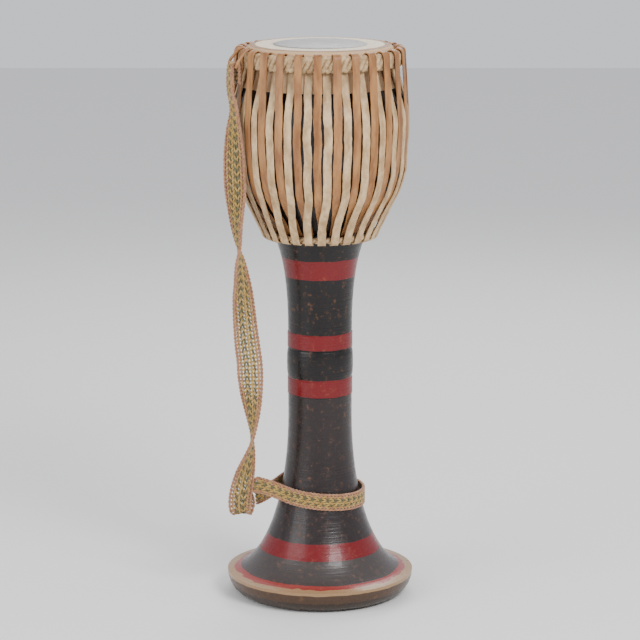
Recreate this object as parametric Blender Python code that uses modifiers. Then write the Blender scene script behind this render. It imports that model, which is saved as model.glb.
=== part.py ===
"""Goblet drum: a tall turned wooden shell with one skin head, thong lacing and a plaited carrying strap.

Lengths are in metres. +Z is up, the floor is z = 0 and the drum's axis is the Z axis. The front is -Y.
Angles round the drum run from the front towards +X. An outline is a list of (radius, height) points.
"""

import math

import bmesh
import bpy
from mathutils import Vector
from mathutils.geometry import interpolate_bezier

# Clearances between pieces that touch, and between two crossing layers of thong
TOUCH_GAP = 0.0003
LAYER_GAP = 0.0005

# Fineness of round shapes
TURNED_SIDES = 48
ARC_STEP = math.radians(45)

# Foot
FOOT_RADIUS = 0.1216
FOOT_REST_RADIUS = 0.0990
FOOT_EDGE_HEIGHT = 0.0294
FOOT_MOUTH_RADIUS = 0.0830
RIM_RING_WIDTH = 0.0132
RIM_RING_RISE = 0.0020

# Stem, stacked upwards from the foot's rim ring
FLARE_LENGTH = 0.2086
FLARE_STEM_PULL = 0.1146
FLARE_RIM_RUN = 0.0363
FLARE_RIM_RISE = 0.0146
STEM_RADIUS = 0.0414
LOWER_STEM_LENGTH = 0.0260
BAND_3_WIDTH = 0.0220
TORUS_LENGTH = 0.0395
TORUS_BULGE = 0.0016
BAND_2_WIDTH = 0.0207
BAND_EDGE_RELIEF = 0.0008

# Bowl
BOWL_DEPTH = 0.2768
BELLY_RADIUS = 0.1122
BELLY_PULL = 0.1668
BOWL_STEM_PULL = 0.2072
SHOULDER_HEIGHT = 0.0770
COLLAR_RADIUS = 0.0925
COLLAR_HEIGHT = 0.0165
MOUTH_RADIUS = 0.0800
LIP_ROUNDING = 0.0050

# Hollow
CAVITY_RADIUS = 0.1000
CAVITY_FLOOR_DROP = 0.1550
BORE_RADIUS = 0.0270
TRUMPET_LENGTH = 0.1900

# Head
SKIN_THICKNESS = 0.0012
SKIRT_DROP = 0.0505
PASTE_RADIUS = 0.0600
PASTE_THICKNESS = 0.0012
PASTE_EDGE = 0.0040

# Rings that carry the lacing
BRAID_THICKNESS = 0.0100
BRAID_HEIGHT = 0.0230
BRAID_TOP_DROP = 0.0040
RING_ROD_RADIUS = 0.0045
RING_DROP = 0.1470

# Lacing
TURN_COUNT = 28
FIRST_TURN_ANGLE = math.radians(1.7)
LACE_WIDTH = 0.0115
LACE_THICKNESS = 0.0018
PASS_SHIFT = 0.25
TOGETHER_DROP = 0.135
APART_DROP = 0.085
STACK_DROP = 0.065
ONE_LAYER_DROP = 0.050
LACE_TUCK = 0.0025
LACE_STEP = 0.024
RING_WRAP_START = 3 * math.pi / 4
BEHIND_SLACK = 0.0009

# Hanger: it hooks over the braid on both sides of one tan pass
HANGER_TURN = -5
HANGER_ROD_RADIUS = 0.0020
HANGER_DROP = 0.0230
HANGER_BEND = 0.0040

# Carrying strap
STRAP_THICKNESS = 0.0045
STRAP_CLEARANCE = 0.0005
EYE_WIDTH = 0.0150
EYE_TAIL = 0.0220
# Hand-laid route below the eye: x, y, z, angle of the width from +X towards the front in degrees, width
STRAP_ROUTE = (
    (-0.1130, -0.0530, 0.6700, 62, 0.0150),
    (-0.1082, -0.0565, 0.6427, 55, 0.0165),
    (-0.1085, -0.0582, 0.6174, 45, 0.0270),
    (-0.1083, -0.0583, 0.5906, 38, 0.0330),
    (-0.1080, -0.0583, 0.5651, 34, 0.0340),
    (-0.1070, -0.0580, 0.5384, 36, 0.0340),
    (-0.1062, -0.0565, 0.4999, 60, 0.0330),
    (-0.1040, -0.0550, 0.4729, 76, 0.0310),
    (-0.1028, -0.0545, 0.4600, 92, 0.0300),
    (-0.1015, -0.0540, 0.4450, 112, 0.0310),
    (-0.0990, -0.0525, 0.4173, 131, 0.0330),
    (-0.0980, -0.0520, 0.3978, 143, 0.0340),
    (-0.0950, -0.0500, 0.3574, 158, 0.0340),
    (-0.0930, -0.0490, 0.3379, 168, 0.0340),
    (-0.0905, -0.0480, 0.3169, 175, 0.0340),
    (-0.0895, -0.0470, 0.2973, 183, 0.0340),
    (-0.0885, -0.0460, 0.2752, 200, 0.0320),
    (-0.0875, -0.0450, 0.2538, 222, 0.0300),
    (-0.0872, -0.0440, 0.2341, 245, 0.0290),
    (-0.0878, -0.0430, 0.2150, 266, 0.0290),
    (-0.0912, -0.0420, 0.1928, 295, 0.0300),
    (-0.0960, -0.0410, 0.1728, 320, 0.0310),
    (-0.1010, -0.0400, 0.1500, 338, 0.0320),
    (-0.1040, -0.0390, 0.1300, 348, 0.0310),
    (-0.1035, -0.0375, 0.1175, 352, 0.0290),
    (-0.1010, -0.0325, 0.1125, 354, 0.0270),
    (-0.0985, -0.0275, 0.1175, 356, 0.0260),
    (-0.0970, -0.0260, 0.1290, 358, 0.0250),
)

# Noose round the stem
NOOSE_WIDTH = 0.0220
NOOSE_HEIGHT = 0.1345
NOOSE_TILT = 0.0055
NOOSE_TILT_TURN = math.radians(15)
NOOSE_FROM = math.radians(-47)
NOOSE_TO = math.radians(232)
NOOSE_POINTS = 20
# Hand-laid points before and after the round stretch
NOOSE_TAIL = (
    (-0.0815, -0.0340, 0.1495),
    (-0.0740, -0.0362, 0.1488),
    (-0.0610, -0.0398, 0.1455),
)
NOOSE_RETURN = (
    (-0.0605, 0.0140, 0.1340),
    (-0.0735, -0.0025, 0.1300),
    (-0.0840, -0.0125, 0.1280),
)

# Heights that follow from the stack
RIM_RING_TOP = FOOT_EDGE_HEIGHT + RIM_RING_RISE
STEM_BASE = RIM_RING_TOP + FLARE_LENGTH
BAND_3_BASE = STEM_BASE + LOWER_STEM_LENGTH
BAND_3_TOP = BAND_3_BASE + BAND_3_WIDTH
BAND_2_BASE = BAND_3_TOP + TORUS_LENGTH
BAND_2_TOP = BAND_2_BASE + BAND_2_WIDTH
BELLY_HEIGHT = BAND_2_TOP + BOWL_DEPTH
COLLAR_BASE = BELLY_HEIGHT + SHOULDER_HEIGHT
LIP_HEIGHT = COLLAR_BASE + COLLAR_HEIGHT
HEAD_HEIGHT = LIP_HEIGHT + TOUCH_GAP + SKIN_THICKNESS
BRAID_MIDDLE = HEAD_HEIGHT - BRAID_TOP_DROP - BRAID_HEIGHT / 2
RING_HEIGHT = BELLY_HEIGHT - RING_DROP

# Colours, roughness and metallic value
FINISHES = {
    "lacquer": ((0.012, 0.009, 0.009, 1.0), 0.28, 0.0),
    "skin": ((0.66, 0.47, 0.27, 1.0), 0.62, 0.0),
    "paste": ((0.16, 0.14, 0.14, 1.0), 0.48, 0.0),
    "rawhide": ((0.62, 0.40, 0.19, 1.0), 0.58, 0.0),
    "braid": ((0.50, 0.32, 0.15, 1.0), 0.65, 0.0),
    "textile": ((0.52, 0.32, 0.14, 1.0), 0.90, 0.0),
}


def clear_scene():
    """Removes whatever the file holds, so that the script can be run again."""
    for obj in list(bpy.data.objects):
        bpy.data.objects.remove(obj)


def make_material(name):
    """One Principled material from FINISHES."""
    colour, roughness, metallic = FINISHES[name]
    material = bpy.data.materials.new(name)
    material.use_nodes = True
    shader = material.node_tree.nodes["Principled BSDF"]
    shader.inputs["Base Color"].default_value = colour
    shader.inputs["Roughness"].default_value = roughness
    shader.inputs["Metallic"].default_value = metallic
    return material


def add_object(name, mesh, material, collection):
    """Links a mesh as a named object with its material."""
    obj = bpy.data.objects.new(name, mesh)
    if not mesh.materials:
        mesh.materials.append(material)
    collection.objects.link(obj)
    return obj


def turned(name, outline, material, collection):
    """A closed outline turned round the Z axis. It runs down the outer side and back up the inner side."""
    mesh = bpy.data.meshes.new(name)
    bm = bmesh.new()
    points = [bm.verts.new((radius, 0.0, height)) for radius, height in outline]
    for start, end in zip(points, points[1:]):
        bm.edges.new((start, end))
    if outline[0][0] > 0.0:
        bm.edges.new((points[-1], points[0]))
    bm.to_mesh(mesh)
    bm.free()
    obj = add_object(name, mesh, material, collection)
    screw = obj.modifiers.new("Turn", "SCREW")
    screw.axis = "Z"
    screw.steps = TURNED_SIDES
    screw.render_steps = TURNED_SIDES
    screw.use_merge_vertices = True
    screw.merge_threshold = 0.00001
    screw.use_smooth_shade = True
    return obj


def arc(radius, height, reach, start, end, rise=None):
    """Points on an arc or a half ellipse about (radius, height), from the start angle to the end angle."""
    rise = reach if rise is None else rise
    count = max(2, round(abs(end - start) / ARC_STEP) + 1)
    step = (end - start) / (count - 1)
    angles = [start + step * i for i in range(count)]
    return [(radius + reach * math.cos(a), height + rise * math.sin(a)) for a in angles]


def bezier(start, start_pull, end_pull, end, count):
    """An outline between two points, as a Bezier curve with its two handles."""
    knots = [Vector((point[0], point[1], 0.0)) for point in (start, start_pull, end_pull, end)]
    return [(point.x, point.y) for point in interpolate_bezier(*knots, count)]


def offset_outline(outline, distance):
    """The outline moved out by a distance, measured square to it. It runs from top to bottom."""
    moved = []
    for i, (radius, height) in enumerate(outline):
        before = Vector(outline[max(i - 1, 0)])
        after = Vector(outline[min(i + 1, len(outline) - 1)])
        here = Vector((radius, height))
        sides = [end - start for start, end in ((before, here), (here, after)) if (end - start).length > 0]
        normals = [Vector((-side.y, side.x)).normalized() for side in sides]
        middle = (normals[0] + normals[-1]).normalized()
        reach = distance / max(middle.dot(normals[0]), 0.5)
        moved.append((radius + middle.x * reach, height + middle.y * reach))
    return moved


def radius_at(outline, height):
    """The outline's radius at a height."""
    for (r0, z0), (r1, z1) in zip(outline, outline[1:]):
        if min(z0, z1) <= height <= max(z0, z1) and z0 != z1:
            return r0 + (r1 - r0) * (height - z0) / (z1 - z0)
    return outline[0][0] if height > outline[0][1] else outline[-1][0]


def between(outline, low, high):
    """The outline's points strictly between two heights."""
    return [point for point in outline if low < point[1] < high]


def taut(points):
    """The route that a thong takes under tension: the outermost line from the first point to the last."""
    kept = []
    for point in points:
        while len(kept) > 1:
            (r0, z0), (r1, z1) = kept[-2], kept[-1]
            if (r1 - r0) * (point[1] - z0) - (point[0] - r0) * (z1 - z0) < 0:
                break
            kept.pop()
        kept.append(point)
    return kept


def resampled(route, step):
    """The route with points added, so that no stretch is longer than step."""
    points = [route[0]]
    for start, end in zip(route, route[1:]):
        pieces = max(1, math.ceil(math.dist(start, end) / step))
        for i in range(1, pieces + 1):
            share = i / pieces
            points.append(tuple(a + (b - a) * share for a, b in zip(start, end)))
    return points


def at_angle(angle, radius, height=0.0):
    """The point at an angle round the drum, a radius and a height."""
    return Vector((radius * math.sin(angle), -radius * math.cos(angle), height))


def strip(name, stations, thickness, material, collection):
    """A flat band: an edge extruded through stations of (centre, half width vector), then given its thickness."""
    mesh = bpy.data.meshes.new(name)
    bm = bmesh.new()
    centre, half = stations[0]
    left = bm.verts.new(centre - half)
    edge = bm.edges.new((left, bm.verts.new(centre + half)))
    for centre, half in stations[1:]:
        new = bmesh.ops.extrude_edge_only(bm, edges=[edge])["geom"]
        edge = next(part for part in new if isinstance(part, bmesh.types.BMEdge))
        near, far = sorted(edge.verts, key=lambda vert: (vert.co - left.co).length)
        near.co = centre - half
        far.co = centre + half
        left = near
    bmesh.ops.recalc_face_normals(bm, faces=bm.faces)
    bm.to_mesh(mesh)
    bm.free()
    obj = add_object(name, mesh, material, collection)
    solid = obj.modifiers.new("Thickness", "SOLIDIFY")
    solid.thickness = thickness
    solid.offset = 0.0
    solid.use_even_offset = True
    return obj


def outer_outline():
    """The shell's outside, from the crown of its lip down to the floor."""
    lip_middle = (MOUTH_RADIUS + COLLAR_RADIUS) / 2
    lip_half = (COLLAR_RADIUS - MOUTH_RADIUS) / 2
    outline = arc(lip_middle, LIP_HEIGHT - LIP_ROUNDING, lip_half, math.pi / 2, 0.0, LIP_ROUNDING)
    outline += bezier(
        (COLLAR_RADIUS, COLLAR_BASE),
        (COLLAR_RADIUS, COLLAR_BASE - 0.29 * SHOULDER_HEIGHT),
        (BELLY_RADIUS, BELLY_HEIGHT + 0.39 * SHOULDER_HEIGHT),
        (BELLY_RADIUS, BELLY_HEIGHT),
        7,
    )
    outline += bezier(
        (BELLY_RADIUS, BELLY_HEIGHT),
        (BELLY_RADIUS, BELLY_HEIGHT - BELLY_PULL),
        (STEM_RADIUS, BAND_2_TOP + BOWL_STEM_PULL),
        (STEM_RADIUS, BAND_2_TOP),
        15,
    )[1:]
    raised = STEM_RADIUS + BAND_EDGE_RELIEF
    outline += [(raised, BAND_2_TOP - BAND_EDGE_RELIEF)]
    outline += [(raised, BAND_2_BASE + BAND_EDGE_RELIEF), (STEM_RADIUS, BAND_2_BASE)]
    torus_middle = (BAND_3_TOP + BAND_2_BASE) / 2
    outline += arc(STEM_RADIUS, torus_middle, TORUS_BULGE, math.pi / 4, -math.pi / 4, TORUS_LENGTH / 2)
    outline += [(STEM_RADIUS, BAND_3_TOP), (raised, BAND_3_TOP - BAND_EDGE_RELIEF)]
    outline += [(raised, BAND_3_BASE + BAND_EDGE_RELIEF), (STEM_RADIUS, BAND_3_BASE)]
    rim_inner = FOOT_RADIUS - RIM_RING_WIDTH
    outline += bezier(
        (STEM_RADIUS, STEM_BASE),
        (STEM_RADIUS, STEM_BASE - FLARE_STEM_PULL),
        (rim_inner - FLARE_RIM_RUN, RIM_RING_TOP + FLARE_RIM_RISE),
        (rim_inner, RIM_RING_TOP),
        13,
    )
    rest_reach = FOOT_RADIUS - FOOT_REST_RADIUS
    outline += arc(FOOT_REST_RADIUS, FOOT_EDGE_HEIGHT, rest_reach, 0.0, -math.pi / 2, FOOT_EDGE_HEIGHT)
    return outline


def inner_outline():
    """The hollow's wall, from the foot's mouth up to the inside of the lip."""
    lip_middle = (MOUTH_RADIUS + COLLAR_RADIUS) / 2
    lip_half = (COLLAR_RADIUS - MOUTH_RADIUS) / 2
    cavity_floor = BELLY_HEIGHT - CAVITY_FLOOR_DROP
    outline = bezier(
        (FOOT_MOUTH_RADIUS, 0.0),
        (0.68 * FOOT_MOUTH_RADIUS, 0.16 * TRUMPET_LENGTH),
        (BORE_RADIUS, 0.42 * TRUMPET_LENGTH),
        (BORE_RADIUS, TRUMPET_LENGTH),
        8,
    )
    outline += bezier(
        (BORE_RADIUS, cavity_floor),
        (BORE_RADIUS, cavity_floor + 0.20 * CAVITY_FLOOR_DROP),
        (CAVITY_RADIUS, BELLY_HEIGHT - 0.82 * CAVITY_FLOOR_DROP),
        (CAVITY_RADIUS, BELLY_HEIGHT),
        10,
    )
    outline += bezier(
        (CAVITY_RADIUS, BELLY_HEIGHT),
        (CAVITY_RADIUS, BELLY_HEIGHT + 0.4 * SHOULDER_HEIGHT),
        (MOUTH_RADIUS, COLLAR_BASE - 0.35 * SHOULDER_HEIGHT),
        (MOUTH_RADIUS, COLLAR_BASE),
        6,
    )[1:]
    outline += arc(lip_middle, LIP_HEIGHT - LIP_ROUNDING, lip_half, math.pi, 0.75 * math.pi, LIP_ROUNDING)
    return outline


def make_shell(materials, collection):
    """The turned wooden body, hollow from the foot to the mouth."""
    return turned("shell", outer_outline() + inner_outline(), materials["lacquer"], collection)


def skirt_outline():
    """The part of the shell's outside that the skin covers, from the lip's crown to the skirt's edge."""
    outer = outer_outline()
    edge = LIP_HEIGHT - SKIRT_DROP
    covered = [(MOUTH_RADIUS, LIP_HEIGHT), outer[0]] + between(outer, edge, LIP_HEIGHT)
    return covered + [(radius_at(outer, edge), edge)]


def make_head(materials, collection):
    """The skin: a flat disc over the mouth, folded over the lip and down the collar."""
    covered = skirt_outline()
    outside = offset_outline(covered, TOUCH_GAP + SKIN_THICKNESS)
    inside = offset_outline(covered, TOUCH_GAP)
    outline = [(0.0, HEAD_HEIGHT)] + outside + inside[::-1]
    outline += [(0.0, HEAD_HEIGHT - SKIN_THICKNESS)]
    return turned("drum_head", outline, materials["skin"], collection)


def make_paste(materials, collection):
    """The round patch of tuning paste on the skin."""
    base = HEAD_HEIGHT + TOUCH_GAP
    top = base + PASTE_THICKNESS
    outline = [(0.0, top), (PASTE_RADIUS - PASTE_EDGE, top), (PASTE_RADIUS, base), (0.0, base)]
    return turned("tuning_paste", outline, materials["paste"], collection)


def wrap_reach(rod):
    """Radius of a thong's middle line round a rod, far enough out that its flat stretches clear the rod."""
    return (rod + TOUCH_GAP + LACE_THICKNESS / 2) / math.cos(ARC_STEP / 2)


def behind_braid():
    """Middle radius of a thong that runs between the skin and the rim braid."""
    return COLLAR_RADIUS + TOUCH_GAP + SKIN_THICKNESS + BEHIND_SLACK + LACE_THICKNESS / 2


def braid_radius():
    """Middle radius of the rim braid, outside the thongs that run behind it."""
    return behind_braid() + wrap_reach(BRAID_THICKNESS / 2)


def make_braid(materials, collection):
    """The twisted rawhide ring round the skirt, with a round top and bottom."""
    half = BRAID_THICKNESS / 2
    straight = BRAID_HEIGHT / 2 - half
    outline = arc(braid_radius(), BRAID_MIDDLE + straight, half, math.pi, 0.0)
    outline += arc(braid_radius(), BRAID_MIDDLE - straight, half, 0.0, -math.pi)
    return turned("rim_braid", outline, materials["braid"], collection)


def ring_radius():
    """Middle radius of the bottom ring: outside the shell and one layer of thong."""
    spacing = TOUCH_GAP + LACE_THICKNESS / 2 + wrap_reach(RING_ROD_RADIUS)
    return radius_at(offset_outline(outer_outline(), spacing), RING_HEIGHT)


def make_bottom_ring(materials, collection):
    """The ring under the bowl that the lower turns go round."""
    bpy.ops.mesh.primitive_torus_add(
        major_segments=TURNED_SIDES,
        minor_segments=8,
        major_radius=ring_radius(),
        minor_radius=RING_ROD_RADIUS,
        location=(0.0, 0.0, RING_HEIGHT),
    )
    obj = bpy.context.object
    obj.name = "bottom_ring"
    obj.data.materials.append(materials["braid"])
    for owner in list(obj.users_collection):
        owner.objects.unlink(obj)
    collection.objects.link(obj)
    return obj


def down_pass():
    """The tan pass: from behind the braid, over it, down the bowl and in behind the bottom ring."""
    crown = BRAID_MIDDLE + BRAID_HEIGHT / 2 - BRAID_THICKNESS / 2
    over = arc(braid_radius(), crown, wrap_reach(BRAID_THICKNESS / 2), math.pi, 0.0)
    tuck = [(over[0][0], over[0][1] - LACE_TUCK)]
    first_layer = offset_outline(outer_outline(), TOUCH_GAP + LACE_THICKNESS / 2)
    under = arc(ring_radius(), RING_HEIGHT, wrap_reach(RING_ROD_RADIUS), RING_WRAP_START, 2 * math.pi)
    resting = between(first_layer, under[0][1], BELLY_HEIGHT + SHOULDER_HEIGHT / 2)
    return tuck + over[:-1] + taut([over[-1]] + resting + [under[0]])


def up_pass():
    """The pale pass: round under the bottom ring, up outside the tan pass and in behind the braid."""
    under = arc(ring_radius(), RING_HEIGHT, wrap_reach(RING_ROD_RADIUS), RING_WRAP_START, 2 * math.pi)
    outer = outer_outline()
    one = TOUCH_GAP + LACE_THICKNESS / 2
    one_layer = offset_outline(outer, one)
    two_layers = offset_outline(outer, one + LAYER_GAP + LACE_THICKNESS)
    over_skin = offset_outline(skirt_outline(), one + TOUCH_GAP + SKIN_THICKNESS)
    braid_turn = BRAID_MIDDLE - BRAID_HEIGHT / 2 + BRAID_THICKNESS / 2
    behind = arc(braid_radius(), braid_turn, wrap_reach(BRAID_THICKNESS / 2), math.pi, 1.25 * math.pi)
    stack_top = BELLY_HEIGHT - STACK_DROP
    single_base = BELLY_HEIGHT - ONE_LAYER_DROP
    on_skin = [point for point in over_skin if point[1] < behind[-1][1]]
    single = between(one_layer, single_base, LIP_HEIGHT - SKIRT_DROP)
    single += [(radius_at(one_layer, single_base), single_base)]
    stacked = [(radius_at(two_layers, stack_top), stack_top)]
    stacked += between(two_layers, under[-1][1], stack_top)
    route = taut([behind[-1]] + on_skin + single + stacked + [under[-1]])
    return under[1:-1] + route[::-1] + [behind[0], (behind[0][0], BRAID_MIDDLE)]


def side_share(height):
    """How far a pass stands to its side: none at the bottom ring, all of PASS_SHIFT higher up."""
    low = BELLY_HEIGHT - TOGETHER_DROP
    high = BELLY_HEIGHT - APART_DROP
    share = min(max((height - low) / (high - low), 0.0), 1.0)
    return PASS_SHIFT * share * share * (3.0 - 2.0 * share)


def lacing_stations():
    """One turn of the lacing at the front: its tan pass on the left, then its pale pass on the right."""
    pitch = 2 * math.pi / TURN_COUNT
    half = Vector((LACE_WIDTH / 2, 0.0, 0.0))
    stations = []
    for side, route in ((-1, resampled(down_pass(), LACE_STEP)), (1, resampled(up_pass(), LACE_STEP))):
        for radius, height in route:
            angle = side * side_share(height) * pitch
            across = Vector((math.cos(angle), math.sin(angle), 0.0)) * half.x
            stations.append((at_angle(angle, radius, height), across))
    return stations


def make_lacing(materials, collection):
    """All the turns of the lacing, each an object of its own that shares one mesh."""
    first = strip("lacing_01", lacing_stations(), LACE_THICKNESS, materials["rawhide"], collection)
    turns = [first]
    for number in range(2, TURN_COUNT + 1):
        turn = add_object(f"lacing_{number:02d}", first.data, materials["rawhide"], collection)
        solid = turn.modifiers.new("Thickness", "SOLIDIFY")
        solid.thickness = LACE_THICKNESS
        solid.offset = 0.0
        solid.use_even_offset = True
        turns.append(turn)
    for index, turn in enumerate(turns):
        turn.rotation_euler.z = FIRST_TURN_ANGLE + index * 2 * math.pi / TURN_COUNT
    return turns


def hanger_angle():
    """The angle of the tan pass that the hanger straddles."""
    return FIRST_TURN_ANGLE + (HANGER_TURN - PASS_SHIFT) * 2 * math.pi / TURN_COUNT


def eye_height():
    """Height of the hanger's lowest stretch, which the strap's eye goes over."""
    return HEAD_HEIGHT - HANGER_DROP


def eye_inner_radius():
    """Middle radius of the strap's inner layer, which lies on the tan pass behind the hanger."""
    lace = radius_at(down_pass()[::-1], eye_height() - EYE_TAIL) + LACE_THICKNESS / 2
    return lace + STRAP_CLEARANCE + STRAP_THICKNESS / 2


def hanger_radius():
    """Middle radius of the hanger's lowest stretch, outside the strap's inner layer."""
    return eye_inner_radius() + STRAP_THICKNESS / 2 + STRAP_CLEARANCE + HANGER_ROD_RADIUS


def make_hanger(materials, collection):
    """A rawhide loop: over the braid on one side of a tan pass, across in front of it, and back over."""
    half_pitch = math.pi / TURN_COUNT
    crown = BRAID_MIDDLE + BRAID_HEIGHT / 2 - BRAID_THICKNESS / 2
    reach = (BRAID_THICKNESS / 2 + TOUCH_GAP + HANGER_ROD_RADIUS) / math.cos(ARC_STEP / 2)
    over = arc(braid_radius(), crown, reach, 0.75 * math.pi, 0.25 * math.pi)
    bar = hanger_radius() / math.cos(half_pitch)
    leg = over + [(bar - 0.5 * HANGER_BEND, eye_height() + 2 * HANGER_BEND), (bar, eye_height() + HANGER_BEND)]
    first = [at_angle(hanger_angle() - half_pitch, radius, height) for radius, height in leg]
    last = [at_angle(hanger_angle() + half_pitch, radius, height) for radius, height in leg]
    across = (last[-1] - first[-1]).normalized() * HANGER_BEND
    drop = Vector((0.0, 0.0, HANGER_BEND))
    points = first + [first[-1] + across - drop, last[-1] - across - drop] + last[::-1]
    curve = bpy.data.curves.new("strap_hanger", "CURVE")
    curve.dimensions = "3D"
    curve.bevel_depth = HANGER_ROD_RADIUS
    curve.bevel_resolution = 2
    curve.use_fill_caps = True
    spline = curve.splines.new("POLY")
    spline.points.add(len(points) - 1)
    for knot, point in zip(spline.points, points):
        knot.co = (*point, 1.0)
    curve.materials.append(materials["rawhide"])
    obj = bpy.data.objects.new("strap_hanger", curve)
    collection.objects.link(obj)
    return obj


def strap_stations():
    """The strap from the tail of its eye, over the hanger and down the hand-laid route."""
    angle = hanger_angle()
    across = Vector((math.cos(angle), math.sin(angle), 0.0)) * EYE_WIDTH / 2
    reach = hanger_radius() - eye_inner_radius()
    turn = arc(hanger_radius(), eye_height(), reach, math.pi, 0.0)
    eye = [(eye_inner_radius(), eye_height() - EYE_TAIL)] + turn
    stations = [(at_angle(angle, radius, height), across) for radius, height in eye]
    for x, y, z, degrees, width in STRAP_ROUTE:
        facing = math.radians(degrees)
        across = Vector((math.cos(facing), -math.sin(facing), 0.0)) * width / 2
        stations.append((Vector((x, y, z)), across))
    return stations


def make_strap(materials, collection):
    """The flat carrying strap, from the hanger to its bottom fold."""
    return strip("carry_strap", strap_stations(), STRAP_THICKNESS, materials["textile"], collection)


def noose_radius():
    """Middle radius of the noose: outside the stem at the noose's lower edge."""
    low = NOOSE_HEIGHT - NOOSE_TILT - NOOSE_WIDTH / 2
    step = (NOOSE_TO - NOOSE_FROM) / (NOOSE_POINTS - 1)
    seat = radius_at(outer_outline(), low) + TOUCH_GAP + STRAP_THICKNESS / 2
    return seat / math.cos(step / 2)


def noose_stations():
    """The strap's end: from the fold, round the stem and back."""
    step = (NOOSE_TO - NOOSE_FROM) / (NOOSE_POINTS - 1)
    centres = [Vector(point) for point in NOOSE_TAIL]
    for i in range(NOOSE_POINTS):
        angle = NOOSE_FROM + step * i
        height = NOOSE_HEIGHT - NOOSE_TILT * math.sin(angle + NOOSE_TILT_TURN)
        centres.append(at_angle(angle, noose_radius(), height))
    centres += [Vector(point) for point in NOOSE_RETURN]
    upright = Vector((0.0, 0.0, NOOSE_WIDTH / 2))
    return [(centre, upright) for centre in centres]


def make_noose(materials, collection):
    """The noose round the stem. It can slide up the stem from the flare that stops it."""
    return strip("strap_noose", noose_stations(), STRAP_THICKNESS, materials["textile"], collection)


def main():
    """Builds the drum."""
    clear_scene()
    collection = bpy.data.collections.new("goblet_drum")
    bpy.context.scene.collection.children.link(collection)
    materials = {name: make_material(name) for name in FINISHES}
    make_shell(materials, collection)
    make_head(materials, collection)
    make_paste(materials, collection)
    make_braid(materials, collection)
    make_bottom_ring(materials, collection)
    make_lacing(materials, collection)
    make_hanger(materials, collection)
    make_strap(materials, collection)
    make_noose(materials, collection)


main()
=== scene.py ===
"""Goblet drum: the looks of a lacquered drum with a laced skin head and a plaited carrying strap.

Lengths are in metres. +Z is up, the floor is z = 0, the drum's axis is the Z axis and its front is -Y.
Angles round the drum run from the front towards +X. A profile is a list of (radius, height) points.
"""

import logging
import math
import random
from dataclasses import dataclass
from enum import Enum

import bmesh
import bpy
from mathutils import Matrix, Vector
from mathutils.geometry import interpolate_bezier


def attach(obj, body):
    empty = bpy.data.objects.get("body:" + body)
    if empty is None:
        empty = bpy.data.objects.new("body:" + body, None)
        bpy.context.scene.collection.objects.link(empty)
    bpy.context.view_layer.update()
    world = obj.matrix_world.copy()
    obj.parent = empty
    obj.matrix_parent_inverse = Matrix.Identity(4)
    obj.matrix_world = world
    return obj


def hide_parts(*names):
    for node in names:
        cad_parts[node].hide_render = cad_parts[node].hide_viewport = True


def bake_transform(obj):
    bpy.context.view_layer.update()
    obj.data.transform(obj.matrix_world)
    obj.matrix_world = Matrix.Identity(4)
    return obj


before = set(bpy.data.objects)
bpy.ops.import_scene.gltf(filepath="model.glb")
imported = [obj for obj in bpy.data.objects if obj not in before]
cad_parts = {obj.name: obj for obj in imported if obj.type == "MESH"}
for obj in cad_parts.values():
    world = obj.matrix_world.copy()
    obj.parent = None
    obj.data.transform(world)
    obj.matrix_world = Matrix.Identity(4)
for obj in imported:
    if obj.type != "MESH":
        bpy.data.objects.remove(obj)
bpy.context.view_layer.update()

LOG = logging.getLogger("goblet_drum")
Point = tuple[float, float, float]
Colour = tuple[float, float, float]
Profile = list[tuple[float, float]]

# The longest step of an arc, and the distance under which two points are one
ARC_STEP = math.radians(15)
MERGE_DISTANCE = 0.00001

# The strap's route below its eye: x, y, z, angle of its width from +X towards the front in degrees, width
STRAP_ROUTE: tuple[tuple[float, float, float, float, float], ...] = (
    (-0.1130, -0.0530, 0.6700, 62, 0.0150),
    (-0.1082, -0.0565, 0.6427, 55, 0.0165),
    (-0.1085, -0.0582, 0.6174, 45, 0.0270),
    (-0.1083, -0.0583, 0.5906, 38, 0.0330),
    (-0.1080, -0.0583, 0.5651, 34, 0.0340),
    (-0.1070, -0.0580, 0.5384, 36, 0.0340),
    (-0.1062, -0.0565, 0.4999, 60, 0.0330),
    (-0.1040, -0.0550, 0.4729, 76, 0.0310),
    (-0.1028, -0.0545, 0.4600, 92, 0.0300),
    (-0.1015, -0.0540, 0.4450, 112, 0.0310),
    (-0.0990, -0.0525, 0.4173, 131, 0.0330),
    (-0.0980, -0.0520, 0.3978, 143, 0.0340),
    (-0.0950, -0.0500, 0.3574, 158, 0.0340),
    (-0.0930, -0.0490, 0.3379, 168, 0.0340),
    (-0.0905, -0.0480, 0.3169, 175, 0.0340),
    (-0.0895, -0.0470, 0.2973, 183, 0.0340),
    (-0.0885, -0.0460, 0.2752, 200, 0.0320),
    (-0.0875, -0.0450, 0.2538, 222, 0.0300),
    (-0.0872, -0.0440, 0.2341, 245, 0.0290),
    (-0.0878, -0.0430, 0.2150, 266, 0.0290),
    (-0.0912, -0.0420, 0.1928, 295, 0.0300),
    (-0.0960, -0.0410, 0.1728, 320, 0.0310),
    (-0.1010, -0.0400, 0.1500, 338, 0.0320),
    (-0.1040, -0.0390, 0.1300, 348, 0.0310),
    (-0.1035, -0.0375, 0.1175, 352, 0.0290),
    (-0.1010, -0.0325, 0.1125, 354, 0.0270),
    (-0.0985, -0.0275, 0.1175, 356, 0.0260),
    (-0.0970, -0.0260, 0.1290, 358, 0.0250),
)
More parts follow.
